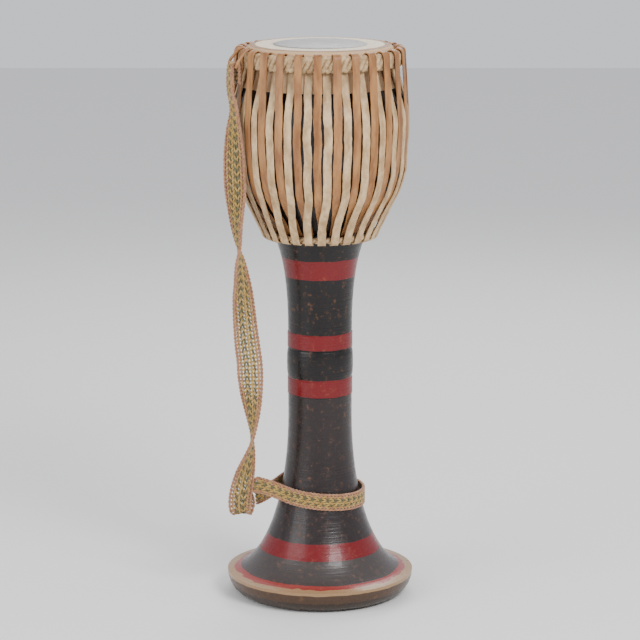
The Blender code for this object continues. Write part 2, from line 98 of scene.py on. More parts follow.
# Where the strap turns on its side, and the noose's points before and after its round stretch
FOLD_POINT: Point = (-0.0925, -0.0285, 0.1430)
FOLD_LEAN: Point = (0.55, 0.0, 0.83)
NOOSE_TAIL: tuple[Point, ...] = (
    (-0.0815, -0.0340, 0.1495),
    (-0.0740, -0.0362, 0.1488),
    (-0.0610, -0.0398, 0.1455),
)
NOOSE_RETURN: tuple[Point, ...] = (
    (-0.0605, 0.0140, 0.1340),
    (-0.0735, -0.0025, 0.1300),
    (-0.0840, -0.0125, 0.1280),
)
# For each of the strap's cords, the colours of its two plies: 0 is pink, 1 is mustard and 2 is olive
PLY_COLOURS = ((0, 0), (0, 1), (1, 2), (1, 1), (2, 1), (1, 2), (0, 1), (0, 0))


class Body(str, Enum):
    """The CAD bodies that pieces ride on."""

    DRUM = "drum"
    NOOSE = "noose"


class Measure(Enum):
    """What a banded finish changes along."""

    HEIGHT = "height"
    RADIUS = "radius"


class Side(Enum):
    """The two passes of a turn of lacing, with the way that each stands off the turn's middle."""

    TAN = -1
    PALE = 1


class Nodes:
    """The nodes of a new material."""

    def __init__(self, name: str) -> None:
        """Starts the material with object coordinates.

        Args:
            name: the material's name.
        """
        self.material = bpy.data.materials.new(name)
        self.material.use_nodes = True
        self.tree = self.material.node_tree
        self.shader = self.tree.nodes["Principled BSDF"]
        self.place = self.tree.nodes.new("ShaderNodeTexCoord").outputs["Object"]

    def feed(self, node: bpy.types.Node, values: dict) -> None:
        """Sets or links a node's inputs.

        Args:
            node: the node.
            values: for each input's name or number, its value or the output that feeds it.
        """
        for name, value in values.items():
            if isinstance(value, bpy.types.NodeSocket):
                self.tree.links.new(value, node.inputs[name])
            else:
                node.inputs[name].default_value = value

    def add(self, kind: str, values: dict) -> bpy.types.Node:
        """Adds a node.

        Args:
            kind: the node's type.
            values: its inputs, as feed takes them.

        Returns:
            The node.
        """
        node = self.tree.nodes.new(kind)
        self.feed(node, values)
        return node

    def noise(
        self,
        scale: float,
        detail: float,
        roughness: float = 0.5,
        place: bpy.types.NodeSocket | None = None,
    ) -> bpy.types.NodeSocket:
        """Adds a noise pattern.

        Args:
            scale: its scale.
            detail: how many finer layers it has.
            roughness: how strong the finer layers are.
            place: the coordinates, which are the object's if not given.

        Returns:
            The pattern's value.
        """
        values = {"Scale": scale, "Detail": detail, "Roughness": roughness, "Vector": place or self.place}
        return self.add("ShaderNodeTexNoise", values).outputs["Fac"]

    def stretched(self, scale: Point) -> bpy.types.NodeSocket:
        """Returns: the object coordinates, scaled on each axis."""
        return self.add("ShaderNodeMapping", {"Vector": self.place, "Scale": scale}).outputs["Vector"]

    def ramp(self, value: bpy.types.NodeSocket, stops: list[tuple[float, Colour]]) -> bpy.types.Node:
        """Adds a colour ramp.

        Args:
            value: what the ramp reads.
            stops: at least two places from 0 to 1, with their colours.

        Returns:
            The ramp.
        """
        node = self.add("ShaderNodeValToRGB", {"Fac": value})
        elements = node.color_ramp.elements
        for i, (stop, colour) in enumerate(stops):
            element = elements[i] if i < 2 else elements.new(stop)
            element.position = stop
            element.color = (*colour, 1.0)
        return node

    def bump(self, height: bpy.types.NodeSocket, strength: float, distance: float) -> None:
        """Raises the surface by a pattern.

        Args:
            height: the pattern.
            strength: how strong the relief is.
            distance: how deep it is.
        """
        node = self.add("ShaderNodeBump", {"Height": height, "Strength": strength, "Distance": distance})
        self.feed(self.shader, {"Normal": node.outputs["Normal"]})


@dataclass(frozen=True)
class Mottled:
    """A finish of two colours that a noise mixes, which also raises the surface."""

    name: str
    first: Colour
    second: Colour
    scale: float
    roughness: float
    relief: float
    stretch: Point = (1.0, 1.0, 1.0)
    sheen: float = 0.0
    mix_from: float = 0.38
    mix_to: float = 0.66
    relief_strength: float = 0.6
    detail: float = 8.0
    grain: float = 0.65

    def material(self) -> bpy.types.Material:
        """Makes the finish a material.

        Returns:
            The material.
        """
        nodes = Nodes(self.name)
        mottle = nodes.noise(self.scale, self.detail, self.grain, nodes.stretched(self.stretch))
        ramp = nodes.ramp(mottle, [(self.mix_from, self.first), (self.mix_to, self.second)])
        nodes.bump(mottle, self.relief_strength, self.relief)
        nodes.feed(nodes.shader, {
            "Base Color": ramp.outputs["Color"],
            "Roughness": self.roughness,
            "Sheen Weight": self.sheen,
        })
        return nodes.material


@dataclass(frozen=True)
class Banded:
    """A finish in bands along the height or the radius, with uneven edges, chips and fine turning rings."""

    name: str
    stops: tuple[tuple[float, Colour], ...]
    span: float
    measure: Measure
    chip: Colour
    chip_amount: float
    roughness: tuple[float, float]
    ring_depth: float
    coat: float = 0.0
    specular: float = 0.3
    edge_wander: float = 0.0022
    edge_scale: float = 55.0
    edge_detail: float = 5.0
    wear_scale: float = 140.0
    wear_detail: float = 10.0
    wear_grain: float = 0.75
    chip_from: float = 0.60
    chip_spread: float = 0.12
    chip_to: float = 0.72
    chip_cover: float = 0.9
    dull_from: float = 0.35
    dull_to: float = 0.70
    ring_detail: float = 6.0
    ring_strength: float = 0.7
    ring_stretch: Point = (9.0, 9.0, 520.0)

    def bands(self, nodes: Nodes) -> bpy.types.NodeSocket:
        """Adds the bands.

        Args:
            nodes: the material's nodes.

        Returns:
            Their colour.
        """
        split = nodes.add("ShaderNodeSeparateXYZ", {"Vector": nodes.place})
        along = split.outputs["Z"]
        if self.measure is Measure.RADIUS:
            flat = nodes.add("ShaderNodeCombineXYZ", {"X": split.outputs["X"], "Y": split.outputs["Y"]})
            length = nodes.add("ShaderNodeVectorMath", {0: flat.outputs["Vector"]})
            length.operation = "LENGTH"
            along = length.outputs["Value"]
        wander = nodes.noise(self.edge_scale, self.edge_detail)
        shift = nodes.add("ShaderNodeMath", {0: wander, 1: self.edge_wander, 2: along})
        shift.operation = "MULTIPLY_ADD"
        values = {0: shift.outputs["Value"], 1: 1.0 / self.span, 2: -self.edge_wander / 2 / self.span}
        share = nodes.add("ShaderNodeMath", values)
        share.operation = "MULTIPLY_ADD"
        stops = [(stop / self.span, colour) for stop, colour in self.stops]
        ramp = nodes.ramp(share.outputs["Value"], stops)
        ramp.color_ramp.interpolation = "CONSTANT"
        return ramp.outputs["Color"]

    def material(self) -> bpy.types.Material:
        """Makes the finish a material.

        Returns:
            The material.
        """
        nodes = Nodes(self.name)
        wear = nodes.noise(self.wear_scale, self.wear_detail, self.wear_grain)
        chips = nodes.add("ShaderNodeMapRange", {
            "Value": wear,
            "From Min": self.chip_from - self.chip_spread * self.chip_amount,
            "From Max": self.chip_to,
            "To Max": min(1.0, self.chip_cover * self.chip_amount),
        })
        mix = nodes.add("ShaderNodeMix", {})
        mix.data_type = "RGBA"
        nodes.feed(mix, {"Factor": chips.outputs["Result"], "A": self.bands(nodes), "B": (*self.chip, 1.0)})
        dull = nodes.add("ShaderNodeMapRange", {
            "Value": wear,
            "From Min": self.dull_from,
            "From Max": self.dull_to,
            "To Min": self.roughness[0],
            "To Max": self.roughness[1],
        })
        rings = nodes.noise(1.0, self.ring_detail, place=nodes.stretched(self.ring_stretch))
        nodes.bump(rings, self.ring_strength, self.ring_depth)
        nodes.feed(nodes.shader, {
            "Base Color": mix.outputs["Result"],
            "Roughness": dull.outputs["Result"],
            "Coat Weight": self.coat,
            "Specular IOR Level": self.specular,
        })
        return nodes.material


PINK_CORD = Mottled(
    "pink_cord", (0.25, 0.105, 0.045), (0.44, 0.22, 0.11),
    scale=260.0, roughness=0.9, relief=0.0004, sheen=0.4,
)
MUSTARD_CORD = Mottled(
    "mustard_cord", (0.30, 0.17, 0.035), (0.48, 0.32, 0.08),
    scale=260.0, roughness=0.9, relief=0.0004, sheen=0.4,
)
OLIVE_CORD = Mottled(
    "olive_cord", (0.07, 0.06, 0.02), (0.15, 0.13, 0.05),
    scale=260.0, roughness=0.9, relief=0.0004, sheen=0.4,
)
GREY_PASTE = Mottled(
    "grey_paste", (0.13, 0.125, 0.13), (0.23, 0.22, 0.225),
    scale=60.0, roughness=0.42, relief=0.0002,
)
TAN_THONG = Mottled(
    "thong_rawhide", (0.20, 0.075, 0.02), (0.42, 0.20, 0.065),
    scale=70.0, roughness=0.5, relief=0.0003, stretch=(1.0, 1.0, 0.25),
)
PALE_THONG = Mottled(
    "thong_pale", (0.36, 0.22, 0.10), (0.66, 0.47, 0.26),
    scale=95.0, roughness=0.7, relief=0.0004, stretch=(1.0, 1.0, 0.5),
)
BRAID_RAWHIDE = Mottled(
    "braid_rawhide", (0.28, 0.16, 0.07), (0.62, 0.44, 0.24),
    scale=120.0, roughness=0.7, relief=0.0006,
)

BLACK: Colour = (0.0045, 0.003, 0.003)
RED: Colour = (0.135, 0.004, 0.006)
BANDED_LACQUER = Banded(
    "banded_lacquer",
    (
        # The two lowest stops paint shade on the foot's underside, where its edge turns under towards the
        # floor: darkest next to the floor.
        (0.0, (0.030, 0.018, 0.012)),
        (0.014, (0.060, 0.032, 0.018)),
        (0.0235, (0.30, 0.18, 0.09)),
        (0.0288, (0.24, 0.035, 0.030)),
        (0.0322, (0.045, 0.036, 0.034)),
        (0.0574, RED),
        (0.0764, (0.018, 0.012, 0.012)),
        (0.2660, RED),
        (0.2880, BLACK),
        (0.3275, RED),
        (0.3482, BLACK),
        (0.4213, RED),
        (0.4461, BLACK),
    ),
    span=0.72, measure=Measure.HEIGHT, chip=(0.42, 0.17, 0.06), chip_amount=0.35,
    roughness=(0.20, 0.50), ring_depth=0.0006, coat=0.1,
)
RINGED_SKIN = Banded(
    "ringed_skin",
    (
        (0.0, (0.70, 0.58, 0.42)),
        (0.0640, (0.74, 0.62, 0.45)),
        (0.0822, (0.30, 0.17, 0.09)),
        (0.0900, (0.55, 0.36, 0.20)),
    ),
    span=0.12, measure=Measure.RADIUS, chip=(0.40, 0.24, 0.12), chip_amount=0.6,
    roughness=(0.5, 0.75), ring_depth=0.0002,
)


def material_of(finish: Mottled | Banded) -> bpy.types.Material:
    """Returns: the finish's material, made once."""
    made = bpy.data.materials.get(finish.name)
    return made if made else finish.material()


def add_piece(
    name: str,
    mesh: bpy.types.Mesh,
    finishes: list[Mottled | Banded],
    node: str,
) -> bpy.types.Object:
    """Links a mesh as a piece that rides on the drum and stands for a CAD node.

    Args:
        name: the piece's name.
        mesh: its mesh.
        finishes: one finish for each of its material indexes.
        node: the CAD node.

    Returns:
        The piece.
    """
    for finish in finishes:
        mesh.materials.append(material_of(finish))
    piece = bpy.data.objects.new(name, mesh)
    bpy.context.scene.collection.objects.link(piece)
    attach(piece, Body.DRUM.value)
    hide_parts(node)
    LOG.info("%s: %d faces", name, len(mesh.polygons))
    return piece


def mesh_of(curve: bpy.types.Curve) -> bpy.types.Mesh:
    """Makes a curve's tubes a mesh.

    Args:
        curve: the curve.

    Returns:
        The mesh.
    """
    source = bpy.data.objects.new(curve.name, curve)
    bpy.context.scene.collection.objects.link(source)
    bpy.context.view_layer.update()
    mesh = bpy.data.meshes.new_from_object(source.evaluated_get(bpy.context.evaluated_depsgraph_get()))
    bpy.data.objects.remove(source)
    return mesh


def at_angle(angle: float, radius: float, height: float) -> Vector:
    """The point at an angle round the drum.

    Args:
        angle: from the front towards +X, in radians.
        radius: distance from the axis.
        height: height above the floor.

    Returns:
        The point.
    """
    return Vector((radius * math.sin(angle), -radius * math.cos(angle), height))


def arc(
    radius: float,
    height: float,
    reach: float,
    start: float,
    end: float,
    rise: float | None = None,
) -> Profile:
    """An arc or a part of an ellipse, with a point about every ARC_STEP.

    Args:
        radius: its centre's radius.
        height: its centre's height.
        reach: its own radius.
        start: the angle that it starts at.
        end: the angle that it ends at.
        rise: its own radius upwards, where that differs.

    Returns:
        Its points.
    """
    rise = reach if rise is None else rise
    count = max(2, round(abs(end - start) / ARC_STEP) + 1)
    step = (end - start) / (count - 1)
    angles = [start + step * i for i in range(count)]
    return [(radius + reach * math.cos(a), height + rise * math.sin(a)) for a in angles]


def bezier(knots: Profile, count: int) -> Profile:
    """A Bezier curve.

    Args:
        knots: its start, its two handles and its end.
        count: how many points it gets.

    Returns:
        Its points.
    """
    corners = [Vector((radius, height, 0.0)) for radius, height in knots]
    return [(point.x, point.y) for point in interpolate_bezier(*corners, count)]


def offset_profile(profile: Profile, distance: float) -> Profile:
    """Moves a profile out, square to itself.

    Args:
        profile: the profile, from top to bottom.
        distance: how far it moves.

    Returns:
        The moved profile.
    """
    moved = []
    for i, (radius, height) in enumerate(profile):
        before = Vector(profile[max(i - 1, 0)])
        after = Vector(profile[min(i + 1, len(profile) - 1)])
        here = Vector((radius, height))
        sides = [end - start for start, end in ((before, here), (here, after)) if (end - start).length > 0]
        normals = [Vector((-side.y, side.x)).normalized() for side in sides]
        middle = (normals[0] + normals[-1]).normalized()
        reach = distance / max(middle.dot(normals[0]), 0.5)
        moved.append((radius + middle.x * reach, height + middle.y * reach))
    return moved


def radius_at(profile: Profile, height: float) -> float:
    """A profile's radius at a height.

    Args:
        profile: the profile.
        height: the height.

    Returns:
        The radius, which is an end's radius above and below the profile.
    """
    for (r0, z0), (r1, z1) in zip(profile, profile[1:]):
        if min(z0, z1) <= height <= max(z0, z1) and z0 != z1:
            return r0 + (r1 - r0) * (height - z0) / (z1 - z0)
    return profile[0][0] if height > profile[0][1] else profile[-1][0]


def between(profile: Profile, low: float, high: float) -> Profile:
    """Returns: the profile's points strictly between two heights."""
    return [point for point in profile if low < point[1] < high]


def taut(points: Profile) -> Profile:
    """The route of a thong under tension.

    Args:
        points: what it lies against, from top to bottom.

    Returns:
        The outermost line from the first point to the last.
    """
    kept: Profile = []
    for point in points:
        while len(kept) > 1:
            (r0, z0), (r1, z1) = kept[-2], kept[-1]
            if (r1 - r0) * (point[1] - z0) - (point[0] - r0) * (z1 - z0) < 0:
                break
            kept.pop()
        kept.append(point)
    return kept


def resampled(route: Profile, step: float) -> Profile:
    """Adds points to a route.

    Args:
        route: the route.
        step: the longest stretch that it may have.

    Returns:
        The route with its new points.
    """
    points = [route[0]]
    for start, end in zip(route, route[1:]):
        pieces = max(1, math.ceil(math.dist(start, end) / step))
        for i in range(1, pieces + 1):
            share = i / pieces
            points.append(tuple(a + (b - a) * share for a, b in zip(start, end)))
    return points


def smoothstep(value: float, low: float, high: float) -> float:
    """Returns: 0 below low, 1 above high, and a smooth rise between them."""
    share = min(max((value - low) / (high - low), 0.0), 1.0)
    return share * share * (3.0 - 2.0 * share)


@dataclass(frozen=True)
class Form:
    """The drum's profile and the sizes that its pieces share."""

    touch_gap: float = 0.0003
    layer_gap: float = 0.0005
    sides: int = 192
    sharp_angle: float = math.radians(35)

    foot_radius: float = 0.1216
    foot_rest_radius: float = 0.0990
    foot_edge_height: float = 0.0294
    foot_mouth_radius: float = 0.0830
    rim_ring_width: float = 0.0132
    rim_ring_top: float = 0.0314
    flare_stem_pull: float = 0.1146
    flare_rim_run: float = 0.0363
    flare_rim_rise: float = 0.0146

    stem_radius: float = 0.0414
    stem_base: float = 0.2400
    band_3_base: float = 0.2660
    band_3_top: float = 0.2880
    torus_bulge: float = 0.0016
    band_2_base: float = 0.3275
    band_2_top: float = 0.3482
    band_edge_relief: float = 0.0008

    belly_radius: float = 0.1122
    belly_height: float = 0.6250
    belly_pull: float = 0.1668
    bowl_stem_pull: float = 0.2072
    shoulder_height: float = 0.0770
    collar_radius: float = 0.0925
    collar_base: float = 0.7020
    lip_height: float = 0.7185
    lip_rounding: float = 0.0050
    mouth_radius: float = 0.0800

    cavity_radius: float = 0.1000
    cavity_floor_drop: float = 0.1550
    bore_radius: float = 0.0270
    trumpet_length: float = 0.1900

    skin_thickness: float = 0.0012
    skirt_drop: float = 0.0505
    lace_thickness: float = 0.0018
    behind_slack: float = 0.0009
    braid_thickness: float = 0.0100
    braid_height: float = 0.0230
    braid_top_drop: float = 0.0040
    ring_rod_radius: float = 0.0045
    ring_drop: float = 0.1470

    @property
    def head_height(self) -> float:
        """Returns: the height of the skin's top."""
        return self.lip_height + self.touch_gap + self.skin_thickness

    @property
    def skirt_edge(self) -> float:
        """Returns: the height of the skirt's lower edge."""
        return self.lip_height - self.skirt_drop

    @property
    def braid_middle(self) -> float:
        """Returns: the height of the rim braid's middle."""
        return self.head_height - self.braid_top_drop - self.braid_height / 2

    @property
    def ring_height(self) -> float:
        """Returns: the height of the bottom ring."""
        return self.belly_height - self.ring_drop

    @property
    def behind_braid(self) -> float:
        """Returns: the middle radius of a thong that runs between the skin and the rim braid."""
        seat = self.collar_radius + self.touch_gap + self.skin_thickness
        return seat + self.behind_slack + self.lace_thickness / 2

    @property
    def braid_radius(self) -> float:
        """Returns: the middle radius of the rim braid."""
        return self.behind_braid + self.wrap_reach(self.braid_thickness / 2)

    @property
    def ring_radius(self) -> float:
        """Returns: the middle radius of the bottom ring."""
        spacing = self.touch_gap + self.lace_thickness / 2 + self.wrap_reach(self.ring_rod_radius)
        return radius_at(offset_profile(self.outside(), spacing), self.ring_height)

    def wrap_reach(self, rod: float) -> float:
        """Returns: the radius of a thong's middle line round a rod, whose flat stretches clear the rod."""
        return (rod + self.touch_gap + self.lace_thickness / 2) / math.cos(ARC_STEP / 2)

    def lip(self, start: float, end: float) -> Profile:
        """The lip's rounding.

        Args:
            start: the angle that it starts at.
            end: the angle that it ends at.

        Returns:
            Its points.
        """
        middle = (self.mouth_radius + self.collar_radius) / 2
        half = (self.collar_radius - self.mouth_radius) / 2
        return arc(middle, self.lip_height - self.lip_rounding, half, start, end, self.lip_rounding)

    def bowl(self) -> Profile:
        """The outside of the bowl.

        Returns:
            Its points, from under its lip to the stem.
        """
        shoulder = [
            (self.collar_radius, self.collar_base),
            (self.collar_radius, self.collar_base - 0.29 * self.shoulder_height),
            (self.belly_radius, self.belly_height + 0.39 * self.shoulder_height),
            (self.belly_radius, self.belly_height),
        ]
        below = [
            (self.belly_radius, self.belly_height),
            (self.belly_radius, self.belly_height - self.belly_pull),
            (self.stem_radius, self.band_2_top + self.bowl_stem_pull),
            (self.stem_radius, self.band_2_top),
        ]
        return bezier(shoulder, 19) + bezier(below, 43)[1:]

    def stem(self) -> Profile:
        """The outside of the stem, with its two raised bands and the torus between them.

        Returns:
            Its points, from top to bottom.
        """
        raised = self.stem_radius + self.band_edge_relief
        middle = (self.band_3_top + self.band_2_base) / 2
        half = (self.band_2_base - self.band_3_top) / 2
        torus = arc(self.stem_radius, middle, self.torus_bulge, math.pi / 4, -math.pi / 4, half)
        return [
            (raised, self.band_2_top - self.band_edge_relief),
            (raised, self.band_2_base + self.band_edge_relief),
            (self.stem_radius, self.band_2_base),
            *torus,
            (self.stem_radius, self.band_3_top),
            (raised, self.band_3_top - self.band_edge_relief),
            (raised, self.band_3_base + self.band_edge_relief),
            (self.stem_radius, self.band_3_base),
        ]

    def foot(self) -> Profile:
        """The outside of the flared foot.

        Returns:
            Its points, from the stem down to the floor.
        """
        rim_inner = self.foot_radius - self.rim_ring_width
        flare = [
            (self.stem_radius, self.stem_base),
            (self.stem_radius, self.stem_base - self.flare_stem_pull),
            (rim_inner - self.flare_rim_run, self.rim_ring_top + self.flare_rim_rise),
            (rim_inner, self.rim_ring_top),
        ]
        reach = self.foot_radius - self.foot_rest_radius
        edge = self.foot_edge_height
        return bezier(flare, 37) + arc(self.foot_rest_radius, edge, reach, 0.0, -math.pi / 2, edge)

    def outside(self) -> Profile:
        """Returns: the shell's outside, from the crown of its lip down to the floor."""
        return self.lip(math.pi / 2, 0.0) + self.bowl() + self.stem() + self.foot()

    def hollow(self) -> Profile:
        """The hollow's wall: the foot's trumpet, the bore and the bowl's cavity.

        Returns:
            Its points, from the foot's mouth up to the inside of the lip.
        """
        cavity_floor = self.belly_height - self.cavity_floor_drop
        trumpet = [
            (self.foot_mouth_radius, 0.0),
            (0.68 * self.foot_mouth_radius, 0.16 * self.trumpet_length),
            (self.bore_radius, 0.42 * self.trumpet_length),
            (self.bore_radius, self.trumpet_length),
        ]
        cavity = [
            (self.bore_radius, cavity_floor),
            (self.bore_radius, cavity_floor + 0.20 * self.cavity_floor_drop),
            (self.cavity_radius, self.belly_height - 0.82 * self.cavity_floor_drop),
            (self.cavity_radius, self.belly_height),
        ]
        throat = [
            (self.cavity_radius, self.belly_height),
            (self.cavity_radius, self.belly_height + 0.4 * self.shoulder_height),
            (self.mouth_radius, self.collar_base - 0.35 * self.shoulder_height),
            (self.mouth_radius, self.collar_base),
        ]
        wall = bezier(trumpet, 22) + bezier(cavity, 28) + bezier(throat, 16)[1:]
        return wall + self.lip(math.pi, 0.75 * math.pi)

    def skirt(self) -> Profile:
        """The part of the outside that the skin covers.

        Returns:
            Its points, from the lip's crown to the skirt's edge.
        """
        outside = self.outside()
        covered = [(self.mouth_radius, self.lip_height), outside[0]]
        covered += between(outside, self.skirt_edge, self.lip_height)
        return covered + [(radius_at(outside, self.skirt_edge), self.skirt_edge)]

    def turned(self, name: str, profile: Profile) -> bpy.types.Mesh:
        """Turns a closed profile about the drum's axis.

        Args:
            name: the mesh's name.
            profile: the profile, down its outside and back up its inside.

        Returns:
            The mesh, shaded smooth but for its sharp edges.
        """
        bm = bmesh.new()
        points = [bm.verts.new((radius, 0.0, height)) for radius, height in profile]
        edges = [bm.edges.new(pair) for pair in zip(points, points[1:])]
        if profile[0][0] > 0.0:
            edges.append(bm.edges.new((points[-1], points[0])))
        bmesh.ops.spin(bm, geom=points + edges, axis=(0, 0, 1), cent=(0, 0, 0), steps=self.sides,
                       angle=2 * math.pi, use_merge=True)
        bmesh.ops.remove_doubles(bm, verts=bm.verts, dist=MERGE_DISTANCE)
        bmesh.ops.recalc_face_normals(bm, faces=bm.faces)
        mesh = bpy.data.meshes.new(name)
        bm.to_mesh(mesh)
        bm.free()
        mesh.shade_smooth()
        mesh.set_sharp_from_angle(angle=self.sharp_angle)
        return mesh


@dataclass
class Shell:
    """The turned and lacquered wooden body."""

    form: Form

    def make(self) -> bpy.types.Object:
        """Returns: the shell, hollow from the foot to the mouth."""
        mesh = self.form.turned("lacquered_shell", self.form.outside() + self.form.hollow())
        return add_piece("lacquered_shell", mesh, [BANDED_LACQUER], "shell")


@dataclass
class Head:
    """The skin over the mouth and the patch of tuning paste on it."""

    form: Form
    paste_radius: float = 0.0600
    paste_thickness: float = 0.0012
    paste_edge: float = 0.0040
    paste_foot: float = 0.0012
    paste_foot_height: float = 0.0004

    def skin(self) -> bpy.types.Object:
        """Makes the skin, folded over the lip and down the collar.

        Returns:
            The skin.
        """
        form = self.form
        covered = form.skirt()
        profile = [(0.0, form.head_height)] + offset_profile(covered, form.touch_gap + form.skin_thickness)
        profile += offset_profile(covered, form.touch_gap)[::-1]
        profile.append((0.0, form.head_height - form.skin_thickness))
        mesh = form.turned("skin_head", profile)
        return add_piece("skin_head", mesh, [RINGED_SKIN], "drum_head")

    def paste(self) -> bpy.types.Object:
        """Makes the patch of paste, thin towards its edge.

        Returns:
            The patch.
        """
        base = self.form.head_height + self.form.touch_gap
        top = base + self.paste_thickness
        profile = [
            (0.0, top),
            (self.paste_radius - self.paste_edge, top),
            (self.paste_radius - self.paste_foot, base + self.paste_foot_height),
            (self.paste_radius, base),
            (0.0, base),
        ]
        mesh = self.form.turned("paste_patch", profile)
        return add_piece("paste_patch", mesh, [GREY_PASTE], "tuning_paste")


@dataclass
class TwistedRing:
    """A rawhide ring of strands twisted round each other."""

    node: str
    radius: float
    height: float
    strands: int
    twists: int
    strand_radius: float
    reach_out: float
    reach_up: float
    points_per_twist: int = 14
    bevel_steps: int = 2

    def make(self) -> bpy.types.Object:
        """Makes the ring's strands.

        Returns:
            The strands as one piece.
        """
        curve = bpy.data.curves.new(self.node, "CURVE")
        curve.dimensions = "3D"
        curve.bevel_depth = self.strand_radius
        curve.bevel_resolution = self.bevel_steps
        count = self.twists * self.points_per_twist
        for strand in range(self.strands):
            spline = curve.splines.new("POLY")
            spline.points.add(count - 1)
            spline.use_cyclic_u = True
            spline.use_smooth = True
            for i in range(count):
                angle = 2 * math.pi * i / count
                phase = angle * self.twists + 2 * math.pi * strand / self.strands
                radius = self.radius + self.reach_out * math.cos(phase)
                height = self.height + self.reach_up * math.sin(phase)
                spline.points[i].co = (*at_angle(angle, radius, height), 1.0)
        return add_piece(self.node + "_strands", mesh_of(curve), [BRAID_RAWHIDE], self.node)


@dataclass
class Lacing:
    """The turns of rawhide thong, each a tan pass down and a pale pass back up."""

    form: Form
    turns: int = 28
    first_angle: float = math.radians(1.7)
    shift: float = 0.25
    together_drop: float = 0.135
    apart_drop: float = 0.085
    stack_drop: float = 0.065
    one_layer_drop: float = 0.050
    tuck: float = 0.0025
    ring_wrap_start: float = 3 * math.pi / 4
    step: float = 0.005
    narrowest: float = 0.0095
    widest: float = 0.0112
    thinning: float = 0.9
    seed: int = 100
    waves: int = 3
    wave_rates: tuple[float, float] = (18, 60)
    sway: float = 0.0009
    sway_rate: float = 2
    sway_base: float = 0.48
    sway_rise: float = 0.1
    sway_top: float = 0.70
    sway_fall: float = 0.03
    raggedness: float = 0.07
    ragged_phase: float = 3
    ragged_rate: float = 9
    rows: tuple[float, ...] = (-1.0, -0.86, 0.0, 0.86, 1.0)

    def under_ring(self) -> Profile:
        """Returns: a thong's route round under the bottom ring, from behind it to outside it."""
        form = self.form
        reach = form.wrap_reach(form.ring_rod_radius)
        return arc(form.ring_radius, form.ring_height, reach, self.ring_wrap_start, 2 * math.pi)

    def tan_pass(self) -> Profile:
        """The tan pass: over the braid and down the bowl.

        Returns:
            Its route, from behind the braid to the bottom ring, where it goes in behind.
        """
        form = self.form
        crown = form.braid_middle + form.braid_height / 2 - form.braid_thickness / 2
        over = arc(form.braid_radius, crown, form.wrap_reach(form.braid_thickness / 2), math.pi, 0.0)
        first_layer = offset_profile(form.outside(), form.touch_gap + form.lace_thickness / 2)
        under = self.under_ring()
        resting = between(first_layer, under[0][1], form.belly_height + form.shoulder_height / 2)
        return [(over[0][0], over[0][1] - self.tuck)] + over[:-1] + taut([over[-1]] + resting + [under[0]])

    def pale_pass(self) -> Profile:
        """The pale pass: round under the bottom ring and up outside the tan pass.

        Returns:
            Its route, from behind the bottom ring to behind the braid.
        """
        form = self.form
        under = self.under_ring()
        outside = form.outside()
        one = form.touch_gap + form.lace_thickness / 2
        one_layer = offset_profile(outside, one)
        two_layers = offset_profile(outside, one + form.layer_gap + form.lace_thickness)
        over_skin = offset_profile(form.skirt(), one + form.touch_gap + form.skin_thickness)
        braid_turn = form.braid_middle - form.braid_height / 2 + form.braid_thickness / 2
        reach = form.wrap_reach(form.braid_thickness / 2)
        behind = arc(form.braid_radius, braid_turn, reach, math.pi, 1.25 * math.pi)
        stack_top = form.belly_height - self.stack_drop
        single_base = form.belly_height - self.one_layer_drop
        on_skin = [point for point in over_skin if point[1] < behind[-1][1]]
        single = between(one_layer, single_base, form.skirt_edge)
        single.append((radius_at(one_layer, single_base), single_base))
        stacked = [(radius_at(two_layers, stack_top), stack_top)]
        stacked += between(two_layers, under[-1][1], stack_top)
        route = taut([behind[-1]] + on_skin + single + stacked + [under[-1]])
        return under[1:-1] + route[::-1] + [behind[0], (behind[0][0], form.braid_middle)]

    def aside(self, height: float) -> float:
        """How far a pass stands to its side.

        Args:
            height: the height above the floor.

        Returns:
            The distance, as a share of the space between turns.
        """
        low = self.form.belly_height - self.together_drop
        high = self.form.belly_height - self.apart_drop
        return self.shift * smoothstep(height, low, high)

    def freedom(self, height: float) -> float:
        """How freely a pass sways, which it does only clear of the two rings.

        Args:
            height: the height above the floor.

        Returns:
            The share of the full sway, 0 to 1.
        """
        rising = min(1.0, max(0.0, (height - self.sway_base) / self.sway_rise))
        falling = min(1.0, max(0.0, (self.sway_top - height) / self.sway_fall))
        return rising * falling

    def strip(self, bm: bmesh.types.BMesh, turn: int, side: Side, dice: random.Random) -> None:
        """Adds one pass as a flat strip of uneven width that sways a little.

        Args:
            bm: the mesh that it is added to.
            turn: which turn, from the front towards +X.
            side: which pass.
            dice: the turn's own chance.
        """
        route = resampled(self.tan_pass() if side is Side.TAN else self.pale_pass(), self.step)
        pitch = 2 * math.pi / self.turns
        wide = dice.uniform(self.narrowest, self.widest) / 2
        waves = [(dice.uniform(0, 6.28), dice.uniform(*self.wave_rates)) for _ in range(self.waves)]
        columns = len(self.rows)
        grid = bmesh.ops.create_grid(bm, x_segments=columns - 1, y_segments=len(route) - 1, size=1.0)
        points = sorted(grid["verts"], key=lambda vert: (round(vert.co.y, 6), vert.co.x))
        for i, (radius, height) in enumerate(route):
            sways = [math.sin(phase + rate * height * self.sway_rate) for phase, rate in waves]
            edges = [math.sin(phase * self.ragged_phase + rate * height * self.ragged_rate)
                     for phase, rate in waves]
            angle = self.first_angle + (turn + side.value * self.aside(height)) * pitch
            angle += self.freedom(height) * sum(sways) / self.waves * self.sway / radius
            half = wide * (1.0 + self.raggedness * sum(edges) / self.waves)
            across = Vector((math.cos(angle), math.sin(angle), 0.0)) * half
            for j, share in enumerate(self.rows):
                points[i * columns + j].co = at_angle(angle, radius, height) + across * share
        for face in {face for point in points for face in point.link_faces}:
            face.material_index = 0 if side is Side.TAN else 1
            face.smooth = True

